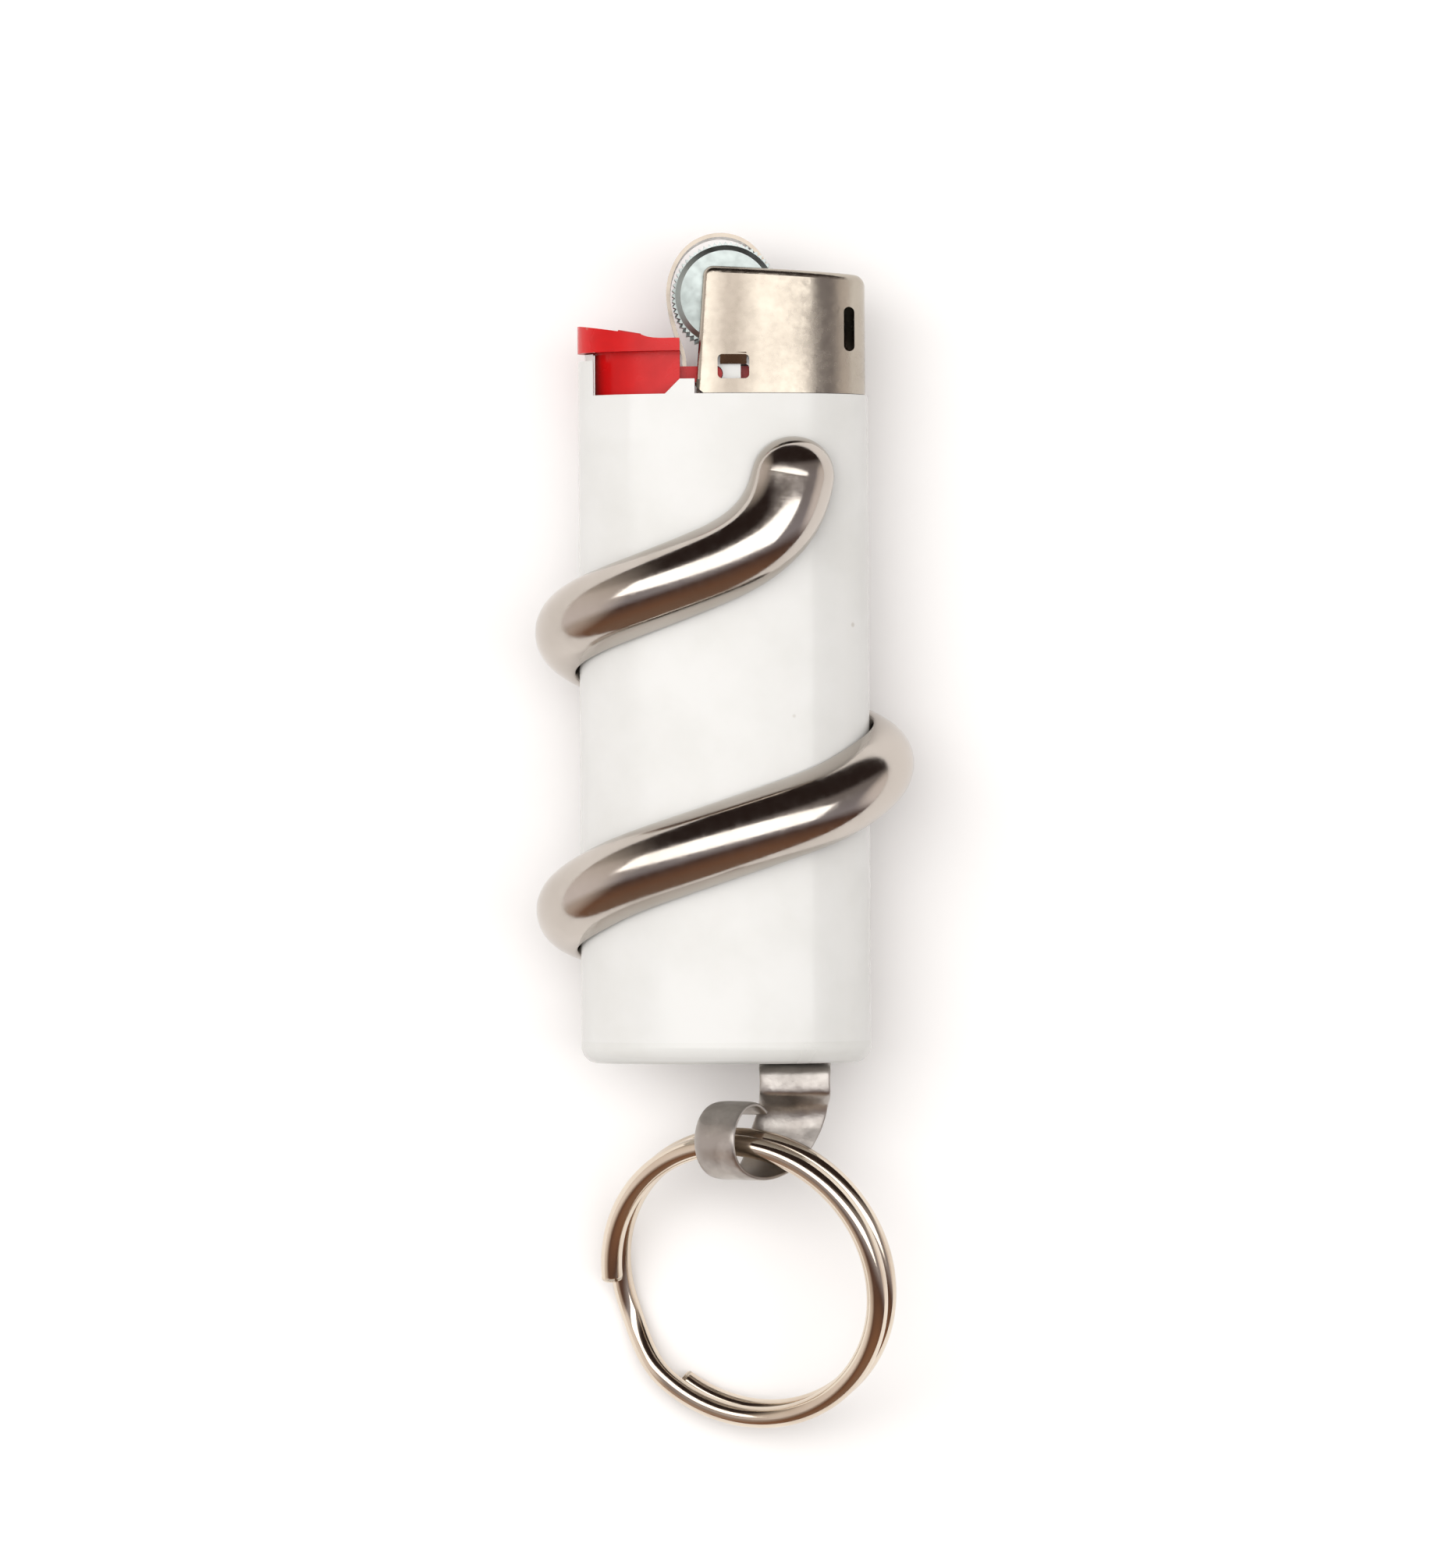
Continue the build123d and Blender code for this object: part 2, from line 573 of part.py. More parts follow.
# below the body: round the base's edge, forward as a shelf, down as a strip, and into the eye
# rows: place, outward direction, half width, thickness, squareness
tail = [(4.79, 3.0, -5.14, 0.254, 0, -0.967, 2.88, 2.4, 2.0),
        (5.05, 1.6, -5.12, 0.267, 0, -0.964, 2.82, 1.8, 2.4),
        (5.10, 0.75, -5.14, 0.24, -0.12, -0.96, 2.76, 1.35, 3.0),
        (5.10, 0.15, -4.95, 0.16, -0.5, -0.86, 2.72, 1.05, 4.0),
        (5.10, -0.14, -4.35, 0.05, -0.94, -0.35, 2.69, 0.9, 4.5),
        (5.10, -0.16, -3.5, 0, -1, 0, 2.67, 0.82, 5.0),
        (5.10, -0.16, -2.2, 0, -1, 0, 2.67, 0.8, 5.0),
        (5.10, -0.16, -0.9, 0, -1, 0, 2.67, 0.8, 5.0),
        (5.10, -0.22, -0.30, 0, -0.92, -0.38, 2.67, 0.8, 5.0),
        (5.10, -0.46, 0.22, 0, -0.7, -0.7, 2.67, 0.8, 5.0),
        (5.10, -0.90, 0.50, 0, -0.3, -0.95, 2.66, 0.8, 5.0),
        (5.10, -1.45, 0.56, 0, 0, -1, 2.63, 0.8, 5.0),
        (5.10, -2.00, 0.54, 0, 0.1, -1, 2.65, 0.8, 5.0),
        (5.10, -2.42, 0.36, 0, 0.45, -0.9, 2.66, 0.78, 5.0),
        (5.08, -2.74, 0.0, 0, 0.72, -0.7, 2.66, 0.74, 5.0),
        (5.02, -3.05, -0.42, 0, 0.7, -0.7, 2.62, 0.68, 5.0),
        (4.92, -3.5, -0.78, 0.05, 0.45, -0.89, 2.58, 0.62, 5.0),
        (4.72, -4.15, -0.98, 0.12, 0.15, -0.97, 2.52, 0.56, 4.5),
        (4.38, -4.95, -0.98, 0.2, -0.05, -0.97, 2.46, 0.5, 4.0)]

axis = Vector(cos(radians(EYE_RISE)), 0, sin(radians(EYE_RISE)))
up = Vector(0, 1, 0)
away = Vector(-sin(radians(EYE_RISE)), 0, cos(radians(EYE_RISE)))
# roll of the eye: angle from the top, shift to the right, shift forward, half width, twist still to come
roll = [(-90, 1.81, 0.50, 2.4, 20), (-120, 1.35, 0.35, 2.3, 12), (-150, 0.9, 0.45, 2.1, 5),
        (-180, 0.35, 0.25, 1.95, 0), (-210, 0.08, 0.06, 1.85, 0), (-240, 0, 0, 1.8, 0), (-270, 0, 0, 1.8, 0),
        (-300, 0, 0, 1.8, 0), (-330, 0, 0, 1.78, 0), (-360, 0, 0, 1.75, 0), (-381, 0, 0, 1.7, 0),
        (-402, 0, 0, 1.65, 0)]
for angle, right, front, half, lag in roll:
    spoke = up * cos(radians(angle)) + away * sin(radians(angle))
    point = EYE + spoke * (EYE_MID_R - EYE_SKIN / 2) + Vector(right, 0, front)
    lean = spoke.rotate(Axis.Y, lag)
    tail.append((*point, *lean, half, EYE_SKIN, 3.0))
joint = len(stations) - 1
for step in range(1, 2 * len(tail) - 1):
    row = blend(tail, step / 2)
    stations.append((Vector(*row[:3]), Vector(*row[3:6]).normalized(), row[6], row[7], row[8]))


def bar_side(half, edge, depth, box):
    """One side of the bar's outline, bulging by a depth from the line that joins its two edges."""
    points = [(half, edge)]
    for step in range(1, 12):
        angle = pi * step / 12
        reach = abs(cos(angle)) ** (2 / box)
        x = half * reach if step < 6 else -half * reach
        points.append((x, edge + depth * sin(angle) ** (2 / box)))
    points.append((-half, edge))
    return points


holder_parts = {}
for label, first, last in (("holder_bar", 0, joint), ("holder_eye", joint, len(stations) - 1)):
    with BuildPart() as holder_part:
        for index in range(first, last + 1):
            point, outward, half, thick, box = stations[index]
            ahead = stations[min(index + 1, len(stations) - 1)][0]
            behind = stations[max(index - 1, 0)][0]
            run = (ahead - behind).normalized()
            normal = (outward - run * outward.dot(run)).normalized()
            place = Vector(point.X, BASE_Y + point.Y, MID_Z + point.Z)
            with BuildSketch(Plane(origin=place, x_dir=normal.cross(run), z_dir=run)):
                with BuildLine():
                    edge = min(0.35, 0.5 * thick, 0.6 * half)
                    Spline(*bar_side(half, edge, thick - edge, box))
                    Spline(*bar_side(half, edge, -edge, 5.0))
                make_face()
        loft()
    holder_parts[label] = holder_part

# split ring: two turns of round wire, joined by a short crank
ring_plane = Plane(origin=(RING_CENTRE.X, BASE_Y + RING_CENTRE.Y, MID_Z + RING_CENTRE.Z),
                   x_dir=Vector(1, 0, 0) - RING_NORMAL * RING_NORMAL.X, z_dir=RING_NORMAL)
with BuildPart() as split_ring:
    ring_points = []
    for step in range(111):
        angle = 187 - 669 * step / 110
        drop = min(max((-126 - angle) / 34, 0), 1)
        layer = RING_PITCH * (0.5 - drop * drop * (3 - 2 * drop))
        ring_points.append((RING_MID_R * cos(radians(angle)), RING_MID_R * sin(radians(angle)), layer))
    with BuildLine(ring_plane) as wire_path:
        Spline(*ring_points)
    path = wire_path.wire()
    with BuildSketch(Plane(origin=path @ 0, z_dir=path % 0)):
        Circle(RING_WIRE_R)
    sweep(path=path)
    fillet(split_ring.faces().filter_by(GeomType.PLANE).edges(), 0.2)


pieces = {
    "holder_bar": holder_parts["holder_bar"],
    "holder_eye": holder_parts["holder_eye"],
    "split_ring": split_ring,
    "lighter_body": lighter_body,
    "base_plug": base_plug,
    "fill_ball": fill_ball,
    "hood": hood,
    "guard_band": guard_band,
    "thumb_wheel_front": thumb_wheels["thumb_wheel_front"],
    "thumb_wheel_back": thumb_wheels["thumb_wheel_back"],
    "spark_wheel": spark_wheel,
    "wheel_axle": wheel_axle,
    "flint": flint,
    "flint_spring": flint_spring,
    "thumb_lever": thumb_lever,
    "valve_housing": valve_housing,
    "valve_jet": valve_jet,
    "jet_spring": jet_spring,
    "valve_seal": valve_seal,
    "jet_o_ring": jet_o_ring,
    "flow_restrictor": flow_restrictor,
    "restrictor_cup": restrictor_cup,
}
for label, piece in pieces.items():
    piece.part.label = label
    export_step(piece.part, f"parts/{label}.step")
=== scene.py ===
"""Looks of a small flint-wheel gas lighter carried in a wrapped steel holder with a split ring.

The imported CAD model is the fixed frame. The polished bar with its eye and the
split ring are rebuilt here as smooth meshes along the same routes, and every
piece gets a procedural finish. Routes are written in mm from the lighter's base
and middle plane, and at() turns them into metres. Lights are placed in metres.
"""

import json
from math import cos, pi, radians, sin, sqrt

import bpy
from mathutils import Matrix, Quaternion, Vector


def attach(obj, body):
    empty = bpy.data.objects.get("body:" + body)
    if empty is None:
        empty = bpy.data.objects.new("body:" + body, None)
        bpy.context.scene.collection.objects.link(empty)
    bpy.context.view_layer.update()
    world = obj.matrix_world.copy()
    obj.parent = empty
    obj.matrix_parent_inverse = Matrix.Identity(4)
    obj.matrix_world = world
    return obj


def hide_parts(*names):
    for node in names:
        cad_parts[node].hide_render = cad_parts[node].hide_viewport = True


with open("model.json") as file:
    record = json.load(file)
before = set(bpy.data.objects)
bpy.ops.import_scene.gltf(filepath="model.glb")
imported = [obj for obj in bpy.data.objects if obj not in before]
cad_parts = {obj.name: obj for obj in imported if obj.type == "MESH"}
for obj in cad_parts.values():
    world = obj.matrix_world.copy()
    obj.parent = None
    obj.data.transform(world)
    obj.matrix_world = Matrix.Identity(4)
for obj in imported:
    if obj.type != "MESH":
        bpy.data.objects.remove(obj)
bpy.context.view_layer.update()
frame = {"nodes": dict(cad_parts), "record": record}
MM = 0.001

# --- where things are -----------------------------------------------------------
BASE_Y = -17.07      # the lighter's base along the length, in mm
MID_Z = 9.02         # the lighter's middle plane above the floor, in mm


def at(x, y, z):
    """A point given in mm from the lighter's base and middle plane, in metres in the row frame."""
    return Vector((x, BASE_Y + y, MID_Z + z)) * MM


# --- camera: straight down, long lens ---------------------------------------------
VIEW_TALL = 117.0    # height of the picture at the object, in mm
VIEW_UP = 0.65       # camera above the lighter's middle plane, in metres
VIEW_X = -0.3        # middle of the picture, in mm
VIEW_Y = 20.78
VIEW_ROLL = -0.3     # in degrees
SENSOR = 36.0        # height of the sensor, in mm
camera_data = bpy.data.cameras.new("camera")
camera_data.sensor_fit = "VERTICAL"
camera_data.sensor_height = SENSOR
camera_data.lens = SENSOR * VIEW_UP / (VIEW_TALL * MM)
camera_data.clip_start = 0.01
camera = bpy.data.objects.new("camera", camera_data)
camera.location = at(VIEW_X, VIEW_Y, 1000 * VIEW_UP)
camera.rotation_euler = (0, 0, radians(VIEW_ROLL))
bpy.context.collection.objects.link(camera)
bpy.context.scene.camera = camera
bpy.context.scene.view_settings.view_transform = "Standard"
bpy.context.scene.view_settings.look = "None"


# --- material helpers ---------------------------------------------------------------
# sockets of a Mix node that mixes colours, which share their names with its other sockets
MIX_SHARE = 0
MIX_FIRST = 6
MIX_SECOND = 7
MIX_RESULT = 2


class Finish:
    """One procedural material under construction."""

    def __init__(self, name, **sockets):
        self.material = bpy.data.materials.new(name)
        self.material.use_nodes = True
        self.tree = self.material.node_tree
        self.shader = self.tree.nodes["Principled BSDF"]
        for key, value in sockets.items():
            self.shader.inputs[key.replace("_", " ")].default_value = value
        self.bump = None
        self.place = self.node("ShaderNodeTexCoord").outputs["Object"]

    def node(self, kind, **settings):
        """A new node with its settings."""
        made = self.tree.nodes.new(kind)
        for key, value in settings.items():
            setattr(made, key, value)
        return made

    def feed(self, node, **values):
        """Sets or links a node's inputs by name; gives the node back."""
        for key, value in values.items():
            socket = node.inputs[key.replace("_", " ")]
            if isinstance(value, bpy.types.NodeSocket):
                self.tree.links.new(value, socket)
            else:
                socket.default_value = value
        return node

    def noise(self, scale, detail, stretch=(1, 1, 1)):
        """Noise in object space; scale is in features per metre."""
        mapping = self.feed(self.node("ShaderNodeMapping"), Vector=self.place, Scale=stretch)
        texture = self.feed(self.node("ShaderNodeTexNoise"), Vector=mapping.outputs[0], Scale=scale,
                            Detail=detail, Roughness=0.55)
        return texture.outputs["Fac"]

    def spots(self, scale, reach):
        """Small separate dots: 1 inside, 0 outside."""
        texture = self.feed(self.node("ShaderNodeTexVoronoi"), Vector=self.place, Scale=scale)
        return self.span(texture.outputs["Distance"], reach, reach * 0.5)

    def attribute(self, name):
        """A number stored on the mesh's points."""
        return self.node("ShaderNodeAttribute", attribute_name=name).outputs["Fac"]

    def span(self, value, low, high, out_low=0.0, out_high=1.0):
        """Value between low and high, spread over out_low to out_high."""
        node = self.feed(self.node("ShaderNodeMapRange"), Value=value, From_Min=low, From_Max=high,
                         To_Min=out_low, To_Max=out_high)
        return node.outputs[0]

    def math(self, kind, a, b):
        """Result of a calculation on two numbers or linked values."""
        node = self.node("ShaderNodeMath", operation=kind)
        for socket, value in zip(node.inputs, (a, b)):
            if isinstance(value, bpy.types.NodeSocket):
                self.tree.links.new(value, socket)
            else:
                socket.default_value = value
        return node.outputs[0]

    def mix(self, share, first, second):
        """Colour mixed from first to second by a linked share."""
        node = self.node("ShaderNodeMix", data_type="RGBA")
        self.tree.links.new(share, node.inputs[MIX_SHARE])
        for index, value in ((MIX_FIRST, first), (MIX_SECOND, second)):
            if isinstance(value, bpy.types.NodeSocket):
                self.tree.links.new(value, node.inputs[index])
            else:
                node.inputs[index].default_value = (*value, 1)
        return node.outputs[MIX_RESULT]

    def colour(self, value):
        """Links the base colour."""
        self.tree.links.new(value, self.shader.inputs["Base Color"])

    def rough(self, value):
        """Links the roughness."""
        self.tree.links.new(value, self.shader.inputs["Roughness"])

    def relief(self, height, distance):
        """Adds bump; distance is the height in mm that the full range stands for."""
        node = self.feed(self.node("ShaderNodeBump"), Height=height, Distance=distance * MM)
        if self.bump is not None:
            self.tree.links.new(self.bump, node.inputs["Normal"])
        self.bump = node.outputs[0]
        self.tree.links.new(self.bump, self.shader.inputs["Normal"])

    def feeding(self, name):
        """What is linked to one of the shader's inputs now."""
        return self.shader.inputs[name].links[0].from_socket


def metal(name, tint, dull, rough, grain, scratch, pits=0.0):
    """Bare or plated metal: colour that drifts to a duller tint, uneven gloss, fine grain and pits.

    grain is in features per metre, scratch and pits are depths in mm.
    """
    made = Finish(name, Metallic=1.0)
    drift = made.noise(120, 4)
    smear = made.noise(grain, 3)
    made.colour(made.mix(made.span(drift, 0.42, 0.68), tint, dull))
    wear = made.math("ADD", made.math("MULTIPLY", drift, 0.5), made.math("MULTIPLY", smear, 0.5))
    made.rough(made.span(wear, 0.38, 0.62, *rough))
    made.relief(smear, scratch)
    if pits:
        made.relief(made.spots(700, 0.25), -pits)
    return made


def plastic(name, tint, shade, rough, mottle=150, orange_peel=0.004):
    """Moulded plastic: faint mottling, uneven gloss, soft orange peel and rare small marks.

    mottle is in features per metre, orange_peel is a depth in mm.
    """
    made = Finish(name, IOR=1.5)
    drift = made.noise(mottle, 4)
    marks = made.spots(160, 0.035)
    clean = made.mix(made.span(drift, 0.4, 0.65), tint, shade)
    made.colour(made.mix(made.math("MULTIPLY", marks, 0.35), clean, (0.32, 0.27, 0.2)))
    made.rough(made.span(drift, 0.35, 0.65, *rough))
    made.relief(made.noise(900, 2), orange_peel)
    return made


# --- materials ----------------------------------------------------------------------
def bar_finish():
    """Polished steel that turns to hammered satin where the bar was flattened."""
    made = metal("bar polished steel", (0.54, 0.495, 0.45), (0.47, 0.425, 0.38), (0.09, 0.19), 1400, 0.0016)
    flattened = made.attribute("worked")
    gloss = made.feeding("Roughness")
    dulling = made.math("MULTIPLY", flattened, made.span(made.noise(500, 3), 0.35, 0.65, 0.2, 0.32))
    made.rough(made.math("ADD", gloss, dulling))
    polished = made.feeding("Base Color")
    satin = made.mix(made.span(made.noise(420, 3), 0.4, 0.6), (0.52, 0.49, 0.46), (0.40, 0.37, 0.345))
    made.colour(made.mix(flattened, polished, satin))
    made.relief(made.noise(2600, 2, (0.25, 1.6, 1.0)), 0.0012)
    made.relief(made.math("MULTIPLY", made.noise(2300, 3), flattened), 0.02)
    made.relief(made.math("MULTIPLY", made.noise(420, 2), flattened), 0.12)
    return made


def hood_finish():
    """Nickel plate with a painted dark band, which stands in for a reflection in the photograph."""
    made = metal("hood nickel plate", (0.47, 0.425, 0.36), (0.40, 0.355, 0.30), (0.17, 0.3),
                 1500, 0.006, 0.004)
    bright = made.feeding("Base Color")
    apart = made.feed(made.node("ShaderNodeSeparateXYZ"), Vector=made.place)
    wobble = made.math("ADD", apart.outputs["X"], made.math("MULTIPLY", made.noise(500, 3), 0.0012))
    left_edge = made.span(wobble, -0.0006, 0.0008)
    band = made.math("MULTIPLY", left_edge, made.span(wobble, 0.0016, 0.0034, 1.0, 0.0))
    made.colour(made.mix(made.math("MULTIPLY", band, 0.6), bright, (0.17, 0.14, 0.115)))
    return made


def tank_finish():
    """White plastic that lets a little light in."""
    made = plastic("tank white plastic", (0.69, 0.685, 0.67), (0.655, 0.65, 0.63), (0.12, 0.2))
    made.shader.inputs["Subsurface Weight"].default_value = 0.08
    made.shader.inputs["Subsurface Radius"].default_value = (0.002, 0.0018, 0.0016)
    return made


def lever_finish():
    """Red plastic with a weak shine."""
    made = plastic("lever red plastic", (0.60, 0.003, 0.004), (0.47, 0.002, 0.003), (0.2, 0.34), 220)
    made.shader.inputs["Specular IOR Level"].default_value = 0.28
    return made


# slot: name, tint, duller tint, roughness range, grain, scratch, pits
METALS = {
    "ring_steel": ("ring nickel plate", (0.74, 0.65, 0.54), (0.60, 0.50, 0.40), (0.07, 0.16), 1500, 0.001),
    "band_steel": ("band plated steel", (0.34, 0.30, 0.255), (0.22, 0.19, 0.16), (0.14, 0.3), 1200, 0.003),
    "wheel_zinc": ("wheel zinc plate", (0.40, 0.445, 0.435), (0.31, 0.35, 0.34), (0.3, 0.45),
                   1500, 0.006, 0.004),
    "wheel_steel": ("spark wheel steel", (0.20, 0.19, 0.18), (0.10, 0.09, 0.085), (0.35, 0.55), 1800, 0.01),
    "axle_steel": ("axle steel", (0.66, 0.64, 0.60), (0.5, 0.48, 0.45), (0.15, 0.3), 1500, 0.003),
    "ball_steel": ("ball steel", (0.70, 0.68, 0.65), (0.6, 0.58, 0.55), (0.06, 0.14), 900, 0.001),
    "flint_alloy": ("flint alloy", (0.19, 0.18, 0.17), (0.11, 0.10, 0.10), (0.5, 0.75), 1600, 0.012),
    "spring_steel": ("spring steel", (0.58, 0.57, 0.55), (0.42, 0.41, 0.39), (0.2, 0.35), 1500, 0.002),
    "valve_brass": ("valve brass", (0.78, 0.56, 0.25), (0.62, 0.42, 0.18), (0.18, 0.34), 1200, 0.003),
    "jet_metal": ("jet plated metal", (0.72, 0.66, 0.56), (0.6, 0.54, 0.45), (0.15, 0.3), 1200, 0.003),
}
# slot: name, tint, other shade, roughness range, mottle, orange peel
PLASTICS = {
    "plug_white": ("plug white plastic", (0.67, 0.665, 0.645), (0.62, 0.615, 0.59), (0.16, 0.28)),
    "seal_rubber": ("seal rubber", (0.02, 0.02, 0.021), (0.034, 0.033, 0.032), (0.6, 0.8), 600, 0.01),
    "restrictor_foam": ("restrictor foam", (0.62, 0.58, 0.45), (0.5, 0.46, 0.35), (0.8, 0.95), 900, 0.04),
}
finishes = {"holder_steel": bar_finish(), "hood_nickel": hood_finish(), "body_white": tank_finish(),
            "lever_red": lever_finish()}
finishes["eye_steel"] = finishes["holder_steel"]
for slot, values in METALS.items():
    finishes[slot] = metal(*values)
for slot, values in PLASTICS.items():
    finishes[slot] = plastic(*values)

slot_of = {part["node"]: part["material_slot"] for part in frame["record"]["subparts"]}
for name, item in frame["nodes"].items():
    item.data.materials.clear()
    item.data.materials.append(finishes[slot_of[name]].material)


# --- smooth bar and eye --------------------------------------------------------------
def blend(rows, where):
    """Smooth curve through rows of numbers, at a position counted in rows."""
    index = min(int(where), len(rows) - 2)
    part = where - index
    before = rows[max(index - 1, 0)]
    after = rows[min(index + 2, len(rows) - 1)]
    out = []
    for p0, p1, p2, p3 in zip(before, rows[index], rows[index + 1], after):
        out.append(p1 + part * (p2 - p0) / 2 + part ** 2 * (p0 - 2.5 * p1 + 2 * p2 - p3 / 2)
                   + part ** 3 * (1.5 * (p1 - p2) + (p3 - p0) / 2))
    return out


TANK_X = 10.8        # half width of the oval tank
TANK_Z = 5.6         # half depth of the tank
WRAP_X = 10.92       # half width of the oval that the bar's flat side follows
WRAP_Z = 5.72        # half depth of that oval


def oval_point(turn, height):
    """Point on the bar's flat side where it wraps the tank, and the outward direction there."""
    x = WRAP_X * cos(radians(turn))
    z = WRAP_Z * sin(radians(turn))
    return Vector((x, height, z)), Vector((x / TANK_X ** 2, 0, z / TANK_Z ** 2)).normalized()


BAR_HALF = 2.93      # half width of the bar's full section
BAR_THICK = 3.3      # thickness of the full section
TIP_HALF = 3.12      # half width where the rounded end starts
TIP_THICK = 2.8      # thickness there
TIP_TURN = 62.45     # turn about the tank there, in degrees
TIP_HEIGHT = 43.5    # height there
TIP_LONG = 3.0       # length of the rounded end
TIP_STEPS = 60
# the wrap: turn about the tank, height, half width, thickness
from_tip = [(62.5, TIP_HEIGHT, TIP_HALF, TIP_THICK), (64.5, 42.15, 3.13, 2.98), (68.0, 40.8, 3.1, 3.12),
            (73.0, 39.6, 3.05, 3.22), (79.5, 38.5, 3.0, BAR_THICK), (87.9, 37.5, 2.96, BAR_THICK),
            (99.0, 36.55, 2.94, BAR_THICK)]
# the stretch with the full section: turn, height
course = [(115.0, 35.4), (133.4, 34.3), (155.0, 33.25), (180.0, 32.1), (205.0, 31.0), (235.0, 29.4),
          (270.0, 27.2), (305.0, 25.0), (335.0, 23.4), (360.0, 22.35), (385.0, 20.85), (407.0, 19.25),
          (428.0, 18.0), (450.0, 16.6), (472.0, 15.2), (494.0, 13.9), (516.0, 12.5), (540.0, 11.4),
          (565.0, 10.5), (588.0, 9.7), (610.0, 8.75), (628.0, 7.6)]
to_tail = [(642.0, 6.2, BAR_HALF, 3.2), (651.0, 4.6, 2.92, 2.9), (656.0, 3.0, 2.88, 2.4)]
wraps = from_tip + [(turn, height, BAR_HALF, BAR_THICK) for turn, height in course] + to_tail
# the tail: place, outward direction, half width, thickness, squareness
tail = [(4.79, 3.0, -5.14, 0.254, 0, -0.967, 2.88, 2.4, 2.0),
        (5.05, 1.6, -5.12, 0.267, 0, -0.964, 2.82, 1.8, 2.4),
        (5.10, 0.75, -5.14, 0.24, -0.12, -0.96, 2.76, 1.35, 3.0),
        (5.10, 0.15, -4.95, 0.16, -0.5, -0.86, 2.72, 1.05, 4.0),
        (5.10, -0.14, -4.35, 0.05, -0.94, -0.35, 2.69, 0.9, 4.5),
        (5.10, -0.16, -3.5, 0, -1, 0, 2.67, 0.82, 5.0),
        (5.10, -0.16, -2.2, 0, -1, 0, 2.67, 0.8, 5.0),
        (5.10, -0.16, -0.9, 0, -1, 0, 2.67, 0.8, 5.0),
        (5.10, -0.20, -0.30, 0, -0.96, -0.28, 2.67, 0.8, 5.0),
        (5.10, -0.36, 0.24, 0, -0.72, -0.7, 2.67, 0.8, 5.0),
        (5.10, -0.76, 0.52, 0, -0.12, -0.99, 2.66, 0.8, 5.0),
        (5.10, -1.36, 0.56, 0, 0, -1, 2.63, 0.8, 5.0),
        (5.10, -2.02, 0.56, 0, 0.02, -1, 2.65, 0.8, 5.0),
        (5.10, -2.44, 0.42, 0, 0.42, -0.9, 2.66, 0.78, 5.0),
        (5.08, -2.74, 0.0, 0, 0.72, -0.7, 2.66, 0.74, 5.0),
        (5.02, -3.05, -0.42, 0, 0.7, -0.7, 2.62, 0.68, 5.0),
        (4.92, -3.5, -0.78, 0.05, 0.45, -0.89, 2.58, 0.62, 5.0),
        (4.72, -4.15, -0.98, 0.12, 0.15, -0.97, 2.52, 0.56, 4.5),
        (4.38, -4.95, -0.98, 0.2, -0.05, -0.97, 2.46, 0.5, 4.0)]
# roll of the eye: angle round it, shift right, shift forward, half width, twist still to come
roll = [(-90, 1.81, 0.50, 2.4, 20), (-120, 1.35, 0.35, 2.3, 12), (-150, 0.9, 0.45, 2.1, 5),
        (-180, 0.35, 0.25, 1.95, 0), (-210, 0.08, 0.06, 1.85, 0), (-240, 0, 0, 1.8, 0), (-270, 0, 0, 1.8, 0),
        (-300, 0, 0, 1.8, 0), (-330, 0, 0, 1.78, 0), (-360, 0, 0, 1.75, 0), (-381, 0, 0, 1.7, 0),
        (-402, 0, 0, 1.65, 0)]
EYE = Vector((0.65, -5.8, 0.68))     # centre of the eye
EYE_RISE = radians(36)               # the eye's axis rises towards the right
EYE_R = 2.52         # inner radius of the roll, a little large because the smoothing below draws it in
EYE_THICK = 0.44     # thickness of the rolled strip
away = Vector((-sin(EYE_RISE), 0, cos(EYE_RISE)))
for angle, right, front, half, lag in roll:
    spoke = Vector((0, 1, 0)) * cos(radians(angle)) + away * sin(radians(angle))
    centre = EYE + spoke * EYE_R + Vector((right, 0, front))
    lean = Matrix.Rotation(radians(lag), 3, "Y") @ spoke
    tail.append((*centre, *lean, half, EYE_THICK, 3.0))

FINE = 8             # stations between two rows
ROUND_BOX = 2.0      # squareness of a half-round section
SMOOTHINGS = 14      # passes that ease the stations into each other
# a station: place, outward direction, half width, thickness, squareness, how far it is flattened
stations = []
for step in range(TIP_STEPS, 0, -1):
    past = TIP_LONG * sin(pi / 2 * step / TIP_STEPS)
    point, outward = oval_point(TIP_TURN - 0.5 * past + 0.06 * past ** 2, TIP_HEIGHT + past)
    narrow = sqrt(max(1 - (past / TIP_LONG) ** 2, 0.0004))
    stations.append([*point, *outward, TIP_HALF * narrow, TIP_THICK * narrow ** 0.8, ROUND_BOX, 0.0])
exact = len(stations)  # the rounded end keeps its widths
for step in range(FINE * (len(wraps) - 1)):
    turn, height, half, thick = blend(wraps, step / FINE)
    point, outward = oval_point(turn, height)
    stations.append([*point, *outward, half, thick, ROUND_BOX, 0.0])
for step in range(FINE * (len(tail) - 1) + 1):
    stations.append([*blend(tail, step / FINE), min(step / (3 * FINE), 1.0)])
for passes in range(SMOOTHINGS):
    smooth = [stations[0]]
    for index in range(1, len(stations) - 1):
        rows = zip(stations[index - 1], stations[index], stations[index + 1])
        eased = [(a + 2 * b + c) / 4 for a, b, c in rows]
        smooth.append(eased[:6] + stations[index][6:] if index < exact else eased)
    smooth.append(stations[-1])
    stations = smooth

OUTER_POINTS = 36    # points over the section's outer side
INNER_POINTS = 20    # points over its flat side
FLAT_BOX = 5.0       # squareness of the flat side
EDGE = 0.35          # height of the section's rounded edges, where it is thick enough


